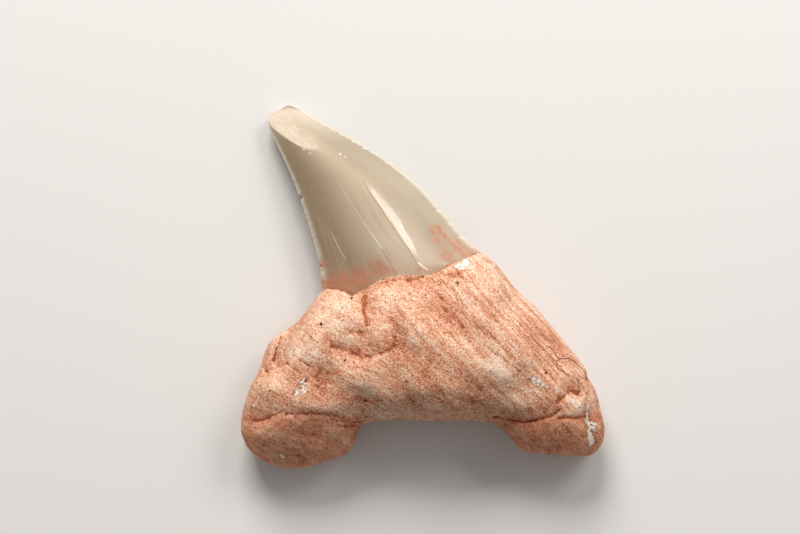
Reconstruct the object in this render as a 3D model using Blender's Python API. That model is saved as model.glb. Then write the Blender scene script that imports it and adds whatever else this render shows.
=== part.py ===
# Fossil tooth of a large extinct shark: a slanted blade-like enamel crown on a thick root with two lobes.
# It lies on its flatter back. X runs across the tooth, Y from the root towards the tip, and Z is up.

import math

import bmesh
import bpy
import numpy as np
from mathutils import Vector

MM = 0.001

# Driving sizes
TOOTH_WIDTH = 55.0 * MM
TOOTH_HEIGHT = 55.0 * MM

# Root ribs, from the foot of the left lobe over the saddle to the foot of the right lobe, in millimetres.
# Each rib runs from the outer outline to the notch side:
# outer x, outer y, inner x, inner y, height of the edge, swell of the front, swell of the back
LEFT_LOBE_RIBS = [
    (-24.4, -26.3, -14.2, -26.3, 4.0, 2.2, 2.2),
    (-25.7, -25.4, -12.2, -25.6, 4.1, 3.5, 3.2),
    (-26.9, -23.9, -10.7, -24.3, 4.2, 5.1, 4.0),
    (-27.5, -21.5, -10.0, -22.4, 4.4, 7.0, 4.5),
    (-27.2, -18.9, -9.1, -20.9, 4.6, 7.9, 4.9),
    (-26.2, -15.6, -7.6, -20.4, 4.8, 8.1, 5.0),
    (-24.7, -12.7, -5.9, -20.2, 4.8, 8.2, 4.8),
    (-24.0, -10.3, -4.4, -20.2, 4.8, 8.4, 4.5),
    (-22.9, -7.9, -3.0, -20.2, 4.8, 8.7, 4.2),
]
SADDLE_RIBS = [
    (-20.1, -6.3, -1.7, -20.2, 4.8, 9.1, 4.0),
    (-17.5, -3.9, -0.5, -20.2, 4.8, 9.5, 3.8),
    (-15.3, -0.9, 0.8, -20.2, 4.8, 9.9, 3.6),
    (-12.8, 0.3, 1.8, -20.2, 4.8, 10.2, 3.5),
    (-10.6, -0.5, 2.7, -20.2, 4.8, 10.5, 3.4),
    (-8.0, 1.1, 3.6, -20.2, 4.8, 10.7, 3.4),
    (-4.7, 2.4, 4.5, -20.2, 4.8, 10.8, 3.4),
    (-1.1, 2.7, 5.4, -20.2, 4.8, 10.8, 3.4),
    (2.3, 3.5, 6.3, -20.2, 4.8, 10.6, 3.4),
    (5.6, 5.0, 7.3, -20.3, 4.8, 10.3, 3.5),
    (8.3, 5.1, 8.2, -20.4, 4.8, 10.0, 3.6),
]
RIGHT_LOBE_RIBS = [
    (11.0, 3.2, 9.1, -20.4, 4.8, 9.8, 3.8),
    (13.4, 0.1, 10.1, -20.5, 4.8, 9.5, 4.0),
    (16.4, -2.7, 11.0, -20.9, 4.8, 9.1, 4.3),
    (19.3, -5.9, 11.9, -21.5, 4.8, 8.6, 4.6),
    (22.0, -9.1, 12.8, -22.4, 4.7, 8.2, 4.9),
    (24.2, -12.1, 13.8, -23.4, 4.6, 7.9, 5.0),
    (25.6, -15.0, 14.8, -24.6, 4.5, 7.4, 4.8),
    (26.7, -18.0, 16.9, -25.0, 4.4, 6.2, 4.4),
    (27.5, -21.3, 19.5, -25.4, 4.2, 4.6, 3.7),
    (27.4, -23.4, 22.7, -25.6, 4.0, 3.0, 2.8),
    (26.4, -24.8, 24.9, -25.5, 4.0, 1.6, 1.8),
]
RIB_COUNT = 62
RIB_POINTS = 48
LOBE_FULLNESS = 2.1
SADDLE_FRONT_FULLNESS = 2.4
CREST_TOWARDS_NOTCH = 0.12

# Smaller copies of the first and last rib that round off the feet: size and shift in (x, y)
LEFT_END_RINGS = [(0.25, (-0.65, -1.15)), (0.62, (-0.5, -0.8))]
RIGHT_END_RINGS = [(0.75, (0.05, -0.10)), (0.35, (0.1, -0.15))]

# Crown slices, from inside the root to the broken tip, in millimetres:
# left edge x, y, right edge x, y, height of the cutting edges, swell of the front, swell of the back, arch
CROWN_SLICES = [
    (-12.8, -4.8, 8.4, -2.4, 4.6, 6.0, 1.4, 1.5),
    (-14.7, -2.1, 10.1, 0.9, 4.6, 6.2, 2.5, 1.2),
    (-15.3, 0.0, 10.9, 3.4, 4.6, 6.2, 3.1, 0.8),
    (-15.5, 2.4, 8.8, 5.0, 4.6, 6.1, 3.25, 0.4),
    (-16.2, 5.4, 6.3, 7.3, 4.6, 6.0, 3.2, 0.0),
    (-17.0, 8.2, 4.1, 9.9, 4.55, 5.8, 3.15, 0.0),
    (-17.9, 11.0, 1.9, 12.4, 4.45, 5.5, 3.05, 0.0),
    (-18.9, 13.9, -0.5, 15.0, 4.3, 5.1, 2.95, 0.0),
    (-19.9, 16.5, -3.0, 17.1, 4.1, 4.7, 2.85, 0.0),
    (-20.9, 18.7, -5.9, 19.3, 3.8, 4.3, 2.7, 0.0),
    (-21.9, 20.9, -8.9, 21.2, 3.4, 3.8, 2.6, 0.0),
    (-22.8, 22.7, -12.1, 23.1, 3.0, 3.3, 2.5, 0.0),
    (-23.5, 24.2, -15.4, 24.8, 2.6, 2.8, 2.7, 0.0),
    (-23.6, 25.4, -18.1, 26.4, 2.3, 2.3, 2.55, 0.0),
    (-23.4, 25.9, -20.0, 27.4, 2.2, 1.9, 2.25, 0.0),
    (-22.6, 26.3, -20.9, 27.4, 2.2, 1.2, 1.6, 0.0),
]
SLICE_COUNT = 36
SLICE_POINTS = 18
CROWN_SHARPNESS = 1.12

# Routes of the creases above the feet of the two lobes
LEFT_FOOT_CREASE = [(-26.4, -19.9), (-23.1, -19.9), (-19.9, -18.4), (-15.4, -19.0), (-9.3, -19.8)]
RIGHT_FOOT_CREASE = [(9.9, -19.4), (12.7, -20.1), (17.4, -19.8), (19.0, -18.9), (24.5, -19.3)]

# Lumps and grooves of the front: name, route of (x, y), half width, height. A groove has a minus height.
FRONT_STROKES = [
    ("crease under the neck", [(-8.6, -1.8), (-8.5, -5.4), (-8.8, -8.9)], 1.5, -0.6),
    ("hollow beside the crease", [(-10.1, -7.0), (-10.0, -7.3)], 2.4, -0.6),
    ("curved crease", [(-13.4, -8.6), (-11.0, -9.7), (-8.5, -10.3), (-6.2, -9.8), (-4.2, -8.9)], 1.5, -0.7),
    ("short groove", [(-5.0, -3.9), (-3.5, -7.0)], 1.4, -0.45),
    ("broad hollow", [(3.3, -3.9), (5.3, -6.0), (7.4, -7.9)], 3.4, -0.9),
    ("long ridge", [(-1.2, -5.9), (2.6, -7.7), (7.1, -10.3), (11.6, -12.7)], 2.2, 0.7),
    ("second ridge", [(8.6, -5.4), (11.6, -7.9), (15.0, -10.4)], 1.9, 0.6),
    ("hollow over the notch", [(-9.2, -17.5), (-8.9, -17.8)], 2.2, -0.7),
    ("hollow of the left lobe", [(-15.3, -13.8), (-15.0, -14.1)], 2.6, -0.8),
    ("knob of the left lobe", [(-22.7, -14.6), (-22.3, -15.0)], 2.1, 0.8),
    ("swell of the left shoulder", [(-15.3, -6.4), (-14.6, -7.2)], 3.2, 0.8),
    ("swell of the left limb", [(-17.6, -14.6), (-17.9, -17.0)], 1.7, 0.4),
    ("swell over the notch", [(-2.2, -15.2), (3.0, -16.4)], 2.4, 0.45),
    ("groove behind the shoulder", [(-20.9, -6.9), (-21.3, -9.1), (-21.7, -10.9)], 1.4, -0.9),
    ("shelf of the shoulder", [(-23.2, -8.8), (-23.6, -10.9), (-23.5, -12.4)], 1.9, -1.0),
    ("hook groove of the right lobe", [(20.2, -17.2), (21.5, -16.3), (22.5, -15.7)], 1.3, -0.6),
    ("lump of the right lobe", [(22.3, -17.8), (22.7, -18.1)], 2.1, 0.7),
    ("furrow of the right limb", [(12.4, -2.1), (16.2, -6.6), (19.3, -11.5)], 1.5, -0.45),
    ("left foot crease", LEFT_FOOT_CREASE, 1.3, -0.5),
    ("right foot crease", RIGHT_FOOT_CREASE, 1.3, -0.5),
    ("left foot swell", [(-22.5, -22.6), (-17.0, -23.8)], 2.6, 0.55),
    ("left foot hollow", [(-14.5, -21.6), (-13.2, -22.4)], 2.0, -0.45),
    ("right foot swell", [(18.0, -22.3), (22.8, -22.6)], 2.2, 0.5),
]

# Lengthwise folds of the crown
CROWN_STROKES = [
    ("fold line", [(-9.6, 16.6), (-5.6, 12.4), (-2.2, 7.2), (1.0, 1.6)], 0.8, -0.22),
    ("fold crest", [(-8.4, 16.7), (-4.3, 12.2), (-0.8, 7.2), (2.0, 2.6)], 0.9, 0.22),
    ("left furrow", [(-15.4, 12.6), (-13.6, 7.6), (-11.9, 2.6)], 0.9, -0.14),
    ("middle furrow", [(-9.8, 11.6), (-7.6, 7.2), (-5.4, 2.4)], 0.9, -0.14),
]

# Lumps and grooves of the back
BACK_STROKES = [
    ("hollow between the lobes", [(-2.0, -12.0), (3.0, -12.5)], 8.0, -1.0),
    ("middle groove", [(0.5, -6.0), (0.8, -11.0), (2.0, -19.0)], 1.6, -0.35),
    ("left vessel groove", [(-9.0, -8.0), (-13.0, -15.0)], 1.5, -0.4),
    ("right vessel groove", [(9.0, -6.0), (15.0, -15.0)], 1.5, -0.4),
]

# Below its crease the foot of each lobe slopes down: height at the crease, and fall for each millimetre.
FOOT_CREASE_Y = -19.4
FOOT_CREASE_HEIGHT = 12.4
FOOT_SLOPE = 0.8
FOOT_ROUNDING = 1.6

# Worn facet of the tip: three points of its plane, in millimetres
FACET_LEFT = (-23.3, 25.1, 2.8)
FACET_LOW = (-17.4, 20.2, 6.6)
FACET_TOP = (-20.3, 27.4, 2.8)
FACET_ROUNDING = 0.3

FLOOR_WIDTH = 90.0
FLOOR_DEPTH = 20.0
MERGE_DISTANCE = 0.03
SLIVER_LENGTH = 0.01


def points_on_curve(rows, count):
    """Even steps along a smooth curve that goes through every row."""
    rows = np.array(rows, float)
    padded = np.vstack([2 * rows[0] - rows[1], rows, 2 * rows[-1] - rows[-2]])
    places = np.linspace(0, len(rows) - 1, count)
    result = []
    for place in places:
        index = min(int(place), len(rows) - 2)
        share = place - index
        before, start, end, after = padded[index:index + 4]
        result.append(
            0.5 * (
                2 * start
                + (end - before) * share
                + (2 * before - 5 * start + 4 * end - after) * share ** 2
                + (3 * start - before - 3 * end + after) * share ** 3
            )
        )
    return result


def signed_power(value, power):
    return math.copysign(abs(value) ** power, value)


def rib_ring(rib, saddle_share, size=1.0, shift=(0.0, 0.0)):
    """The closed outline of one root rib. Its front is fuller than its back and crests towards the notch."""
    outer_x, outer_y, inner_x, inner_y, edge_height, front_swell, back_swell = rib
    middle = Vector(((outer_x + inner_x) / 2 + shift[0], (outer_y + inner_y) / 2 + shift[1], edge_height))
    half = Vector(((outer_x - inner_x) / 2, (outer_y - inner_y) / 2, 0.0)) * size
    ring = []
    for step in range(RIB_POINTS):
        angle = math.tau * step / RIB_POINTS
        front = math.sin(angle) > 0
        fullness = LOBE_FULLNESS + saddle_share * (SADDLE_FRONT_FULLNESS - LOBE_FULLNESS if front else 0.0)
        swell = front_swell if front else back_swell
        across = signed_power(math.cos(angle), 2 / fullness)
        rise = signed_power(math.sin(angle), 2 / fullness)
        if front:
            across -= CREST_TOWARDS_NOTCH * (1 - across ** 2)
        ring.append(middle + half * across + Vector((0, 0, rise * swell * size)))
    return ring


def root_rings():
    ribs = points_on_curve(LEFT_LOBE_RIBS + SADDLE_RIBS + RIGHT_LOBE_RIBS, RIB_COUNT)
    middle = [rib_ring(rib, math.sin(math.pi * index / RIB_COUNT)) for index, rib in enumerate(ribs)]
    left_end = [rib_ring(ribs[0], 0.0, size, shift) for size, shift in LEFT_END_RINGS]
    right_end = [rib_ring(ribs[-1], 0.0, size, shift) for size, shift in RIGHT_END_RINGS]
    return left_end + middle + right_end


def slice_ring(crown_slice):
    """The closed lens outline of one crown slice: over the front to the right edge, and back behind."""
    left_x, left_y, right_x, right_y, edge_height, front_swell, back_swell, arch = crown_slice
    left = Vector((left_x, left_y, edge_height))
    right = Vector((right_x, right_y, edge_height))
    ring = []
    for step in range(2 * SLICE_POINTS):
        angle = math.pi * step / SLICE_POINTS
        across = -math.cos(angle)
        bulge = (1 - across ** 2) ** CROWN_SHARPNESS
        rise = front_swell * bulge if step <= SLICE_POINTS else -back_swell * bulge
        spot = left.lerp(right, (across + 1) / 2)
        ring.append(spot + Vector((0, arch * (1 - across ** 2), rise)))
    return ring


def crown_rings():
    return [slice_ring(crown_slice) for crown_slice in points_on_curve(CROWN_SLICES, SLICE_COUNT)]


def loft(name, rings, material_index):
    """A closed mesh object through the rings, with a fan of faces over each end."""
    shape = bmesh.new()
    loops = [[shape.verts.new(point * MM) for point in ring] for ring in rings]
    count = len(loops[0])
    for lower, upper in zip(loops, loops[1:]):
        for step in range(count):
            following = (step + 1) % count
            shape.faces.new((lower[step], lower[following], upper[following], upper[step]))
    for end in (loops[0], loops[-1]):
        centre = shape.verts.new(sum((vert.co for vert in end), Vector()) / count)
        for step in range(count):
            shape.faces.new((end[step], end[(step + 1) % count], centre))
    bmesh.ops.recalc_face_normals(shape, faces=shape.faces)
    for face in shape.faces:
        face.material_index = material_index
        face.smooth = True
    mesh = bpy.data.meshes.new(name)
    shape.to_mesh(mesh)
    shape.free()
    return mesh


def distance_to_route(spot, route):
    """Distance in plan from a spot to the nearest stretch of a route."""
    nearest = math.inf
    for start, end in zip(route, route[1:]):
        start = Vector(start)
        along = Vector(end) - start
        share = (spot - start).dot(along) / along.length_squared
        share = min(max(share, 0.0), 1.0)
        nearest = min(nearest, (spot - start - along * share).length)
    return nearest


def stroke_height(spot, strokes):
    total = 0.0
    for _, route, half_width, height in strokes:
        share = distance_to_route(spot, route) / (2 * half_width)
        if share < 1:
            total += height * (1 - share ** 2) ** 3
    return total


def lower_of(first, second, rounding):
    """The lower of two heights, with the corner between them rounded."""
    gap = max(rounding - abs(first - second), 0) / rounding
    return min(first, second) - gap ** 2 * rounding / 4


def shape_root(mesh):
    """Presses the lumps, grooves and foot slopes into the root."""
    moves = []
    for vertex in mesh.vertices:
        spot = Vector(vertex.co.xy) / MM
        facing = min(max(vertex.normal.z * 1.6, -1), 1)
        strokes = FRONT_STROKES if facing > 0 else BACK_STROKES
        place = vertex.co / MM + vertex.normal * stroke_height(spot, strokes) * abs(facing)
        if facing > 0:
            foot = FOOT_CREASE_HEIGHT + FOOT_SLOPE * (spot.y - FOOT_CREASE_Y)
            place.z = lower_of(place.z, foot, FOOT_ROUNDING)
        moves.append(place * MM)
    for vertex, place in zip(mesh.vertices, moves):
        vertex.co = place


def facet_height(spot):
    """Height of the worn facet's plane above a spot in plan."""
    left, low, top = (Vector(point) for point in (FACET_LEFT, FACET_LOW, FACET_TOP))
    normal = (low - left).cross(top - left)
    return low.z - (normal.x * (spot.x - low.x) + normal.y * (spot.y - low.y)) / normal.z


def shape_crown(mesh):
    """Presses the folds into the crown's front and wears its tip down to the facet."""
    for vertex in mesh.vertices:
        place = vertex.co / MM
        if vertex.normal.z > 0.05:
            place.z += stroke_height(place.xy, CROWN_STROKES) * vertex.normal.z
            place.z = lower_of(place.z, facet_height(place.xy), FACET_ROUNDING)
        vertex.co = place * MM


def material(name, colour, roughness):
    made = bpy.data.materials.new(name)
    made.use_nodes = True
    shader = made.node_tree.nodes["Principled BSDF"]
    shader.inputs["Base Color"].default_value = (*colour, 1)
    shader.inputs["Roughness"].default_value = roughness
    shader.inputs["Metallic"].default_value = 0
    made.diffuse_color = (*colour, 1)
    return made


def add_object(name, mesh, helper=False):
    made = bpy.data.objects.new(name, mesh)
    bpy.context.scene.collection.objects.link(made)
    if helper:
        made.hide_render = True
        made.display_type = "WIRE"
    return made


def floor_block():
    """A large box just under the surface that the tooth lies on."""
    shape = bmesh.new()
    bmesh.ops.create_cube(shape, size=1)
    for vert in shape.verts:
        vert.co.x *= FLOOR_WIDTH * MM
        vert.co.y *= FLOOR_WIDTH * MM
        vert.co.z = (vert.co.z - 0.5) * FLOOR_DEPTH * MM
    mesh = bpy.data.meshes.new("floor")
    shape.to_mesh(mesh)
    shape.free()
    return add_object("floor", mesh, helper=True)


def add_boolean(target, other, operation):
    modifier = target.modifiers.new(other.name, "BOOLEAN")
    modifier.operation = operation
    modifier.object = other
    modifier.solver = "EXACT"


def finish(tooth):
    """Fixes the modifiers into the mesh and centres the box of the tooth over the origin."""
    graph = bpy.context.evaluated_depsgraph_get()
    mesh = bpy.data.meshes.new_from_object(tooth.evaluated_get(graph))
    tooth.modifiers.clear()
    tooth.data = mesh
    shape = bmesh.new()
    shape.from_mesh(mesh)
    bmesh.ops.remove_doubles(shape, verts=shape.verts, dist=MERGE_DISTANCE * MM)
    bmesh.ops.dissolve_degenerate(shape, edges=shape.edges, dist=SLIVER_LENGTH * MM)
    bmesh.ops.triangulate(shape, faces=shape.faces)
    corners = np.array([vert.co for vert in shape.verts])
    low, high = corners.min(axis=0), corners.max(axis=0)
    width, height = high[0] - low[0], high[1] - low[1]
    for vert in shape.verts:
        vert.co.x = (vert.co.x - (low[0] + high[0]) / 2) * TOOTH_WIDTH / width
        vert.co.y = (vert.co.y - (low[1] + high[1]) / 2) * TOOTH_HEIGHT / height
    shape.to_mesh(mesh)
    shape.free()
    mesh.name = "tooth"


def main():
    for old in list(bpy.data.objects):
        bpy.data.objects.remove(old)
    bone = material("fossil root", (0.72, 0.37, 0.22), 0.85)
    enamel = material("fossil enamel", (0.60, 0.55, 0.42), 0.3)
    root = loft("tooth_root", root_rings(), 0)
    crown = loft("tooth_crown", crown_rings(), 1)
    shape_root(root)
    shape_crown(crown)
    for mesh in (root, crown):
        mesh.materials.append(bone)
        mesh.materials.append(enamel)
    tooth = add_object("tooth", root)
    add_boolean(tooth, add_object("crown", crown, helper=True), "UNION")
    add_boolean(tooth, floor_block(), "DIFFERENCE")
    bpy.context.view_layer.update()
    finish(tooth)


main()
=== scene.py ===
import math

import bmesh
import bpy
import numpy as np
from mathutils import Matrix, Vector, noise
from mathutils.bvhtree import BVHTree


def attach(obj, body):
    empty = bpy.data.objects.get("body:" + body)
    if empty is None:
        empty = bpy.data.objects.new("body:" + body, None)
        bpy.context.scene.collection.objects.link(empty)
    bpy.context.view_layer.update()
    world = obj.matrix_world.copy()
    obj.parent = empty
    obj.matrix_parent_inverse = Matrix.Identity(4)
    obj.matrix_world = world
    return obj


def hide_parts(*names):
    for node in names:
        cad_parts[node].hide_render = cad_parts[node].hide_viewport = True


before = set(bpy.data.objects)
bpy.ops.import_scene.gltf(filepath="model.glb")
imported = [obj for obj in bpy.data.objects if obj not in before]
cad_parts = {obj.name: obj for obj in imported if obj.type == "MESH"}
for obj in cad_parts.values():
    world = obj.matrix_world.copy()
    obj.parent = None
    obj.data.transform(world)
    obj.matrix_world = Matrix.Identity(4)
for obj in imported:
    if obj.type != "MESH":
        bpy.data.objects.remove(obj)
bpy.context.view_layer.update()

# Fossil shark tooth: a glossy enamel crown on a sandy root, lying on its flatter face, tip towards +Y.
# Lengths in the dictionaries are millimetres. X runs across the tooth, and Z is up out of its rounder face.
mm = 0.001
black = (0, 0, 0)
flat = (1, 1, 0)  # leaves the height out of a place


def makeActive(piece):
    if bpy.context.mode != "OBJECT":
        bpy.ops.object.mode_set(mode="OBJECT")
    bpy.ops.object.select_all(action="DESELECT")
    piece.select_set(True)
    bpy.context.view_layer.objects.active = piece


def applyModifier(piece, kind, **settings):
    makeActive(piece)
    bpy.ops.object.modifier_add(type=kind)
    modifier = piece.modifiers[-1]
    for name, value in settings.items():
        setattr(modifier, name, value)
    bpy.ops.object.modifier_apply(modifier=modifier.name)


def curveThrough(rows, count):
    # even steps along a smooth line that goes through every row
    rows = np.array(rows, float)
    padded = np.vstack([2 * rows[0] - rows[1], rows, 2 * rows[-1] - rows[-2]])
    result = []
    for place in np.linspace(0, len(rows) - 1, count):
        index = min(int(place), len(rows) - 2)
        share = place - index
        before, start, end, after = padded[index:index + 4]
        result.append(0.5 * (
            2 * start + (end - before) * share
            + (2 * before - 5 * start + 4 * end - after) * share ** 2
            + (3 * start - before - 3 * end + after) * share ** 3
        ))
    return np.array(result)


def readPoints(mesh):
    # places in millimetres and normals of a mesh's points
    places = np.empty(len(mesh.vertices) * 3)
    normals = np.empty(len(mesh.vertices) * 3)
    mesh.vertices.foreach_get("co", places)
    mesh.vertex_normals.foreach_get("vector", normals)
    return places.reshape(-1, 3) / mm, normals.reshape(-1, 3)


def writePoints(mesh, places):
    mesh.vertices.foreach_set("co", (places * mm).astype(np.float32).ravel())
    mesh.update()


def readPaint(mesh, name):
    values = np.empty(len(mesh.vertices))
    mesh.attributes[name].data.foreach_get("value", values)
    return values


def writePaint(mesh, name, values):
    layer = mesh.attributes.get(name) or mesh.attributes.new(name, "FLOAT", "POINT")
    layer.data.foreach_set("value", np.asarray(values, np.float32))


def easeIn(values, low, high):
    # 0 below low, 1 above high, smooth between them
    share = np.clip((values - low) / (high - low), 0, 1)
    return share * share * (3 - 2 * share)


def routeDistance(places, route):
    # distance in plan to a route, with a plus on the left of the way it runs, and the share of its length
    spots = places[:, :2]
    route = np.array(route, float)
    steps = np.hypot(*(route[1:] - route[:-1]).T)
    nearest = np.full(len(spots), 1e6)
    side = np.ones(len(spots))
    share = np.zeros(len(spots))
    passed = 0
    for start, end, step in zip(route[:-1], route[1:], steps):
        run = end - start
        along = np.clip((spots - start) @ run / step ** 2, 0, 1)
        gap = spots - start - along[:, None] * run
        distance = np.hypot(gap[:, 0], gap[:, 1])
        nearer = distance < nearest
        nearest[nearer] = distance[nearer]
        turn = run[0] * (spots[:, 1] - start[1]) - run[1] * (spots[:, 0] - start[0])
        side[nearer] = np.where(turn[nearer] > 0, 1, -1)
        share[nearer] = (passed + along[nearer] * step) / steps.sum()
        passed += step
    return nearest * side, share


def noiseAt(places, size, seed, octaves=1):
    # soft noise from about -1 to 1 at each place, in lumps of the given size
    # each further octave has half the size and half the strength
    seedStep = 17.3  # moves each seed to another part of the noise
    values = np.zeros(len(places))
    strength = 1.0
    for octave in range(octaves):
        scaled = places * 2 ** octave / size + seed * seedStep
        values += strength * np.array([noise.noise(spot) for spot in scaled.tolist()])
        strength *= 0.5
    return values


def raisePoints(places, normals, heights):
    places += normals * heights[:, None]


def patchPaint(places, patches):
    # soft patches in plan: x, y, reach in x, reach in y, strength
    paint = np.zeros(len(places))
    for x, y, reachX, reachY, strength in patches:
        gap = ((places[:, 0] - x) / reachX) ** 2 + ((places[:, 1] - y) / reachY) ** 2
        paint = np.maximum(paint, strength * np.exp(-gap))
    return paint


print("camera, floor and lights")
view = {
    "place": (-3.48, 2.87, 340.6),  # straight above
    "lens": 100,
    "sensor": 36,
    "nearest": 10,
}
camera = bpy.data.objects.new("camera", bpy.data.cameras.new("camera"))
bpy.context.scene.collection.objects.link(camera)
camera.location = Vector(view["place"]) * mm
camera.data.lens = view["lens"]
camera.data.sensor_width = view["sensor"]
camera.data.clip_start = view["nearest"] * mm
bpy.context.scene.camera = camera

studio = {
    "floorSize": 3000,
    "floorDrop": 0.02,  # keeps the floor off the faces that rest on it
    "floorColour": (0.80, 0.79, 0.77),
    "floorCloudTone": 0.97,
    "skyColour": (1.0, 0.985, 0.965),
    "skyStrength": 0.24,
    # direction from the tooth, distance, width, length, power, colour, seen in the gloss
    "lamps": {
        "keySoftbox": ((-0.16, 0.80, 0.58), 620, 300, 240, 4.0, (1.0, 0.975, 0.94), False),
        "fillSoftbox": ((0.70, 0.30, 0.60), 700, 300, 300, 0.3, (1.0, 0.98, 0.96), False),
        "glossLamp": ((0.475, 0.587, 0.656), 520, 205, 150, 0.79, (1.0, 0.985, 0.96), True),
    },
}


def addLamp(name, direction, distance, width, length, power, colour, inGloss):
    data = bpy.data.lights.new(name, "AREA")
    data.shape = "RECTANGLE"
    data.size = width * mm
    data.size_y = length * mm
    data.energy = power
    data.color = colour
    lamp = bpy.data.objects.new(name, data)
    bpy.context.scene.collection.objects.link(lamp)
    direction = Vector(direction).normalized()
    lamp.location = direction * distance * mm
    lamp.rotation_euler = direction.to_track_quat("Z", "Y").to_euler()
    lamp.visible_glossy = inGloss


for lampName, lampValues in studio["lamps"].items():
    addLamp(lampName, *lampValues)

sky = bpy.data.worlds.new("sky")
bpy.context.scene.world = sky
sky.use_nodes = True
skyShader = sky.node_tree.nodes["Background"]
skyShader.inputs["Color"].default_value = (*studio["skyColour"], 1)
skyShader.inputs["Strength"].default_value = studio["skyStrength"]
bpy.context.scene.view_settings.view_transform = "Standard"

bpy.ops.object.select_all(action="DESELECT")
bpy.ops.mesh.primitive_plane_add(size=studio["floorSize"] * mm, location=(0, 0, -studio["floorDrop"] * mm))
floor = bpy.context.active_object
floor.name = "floor"


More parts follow.
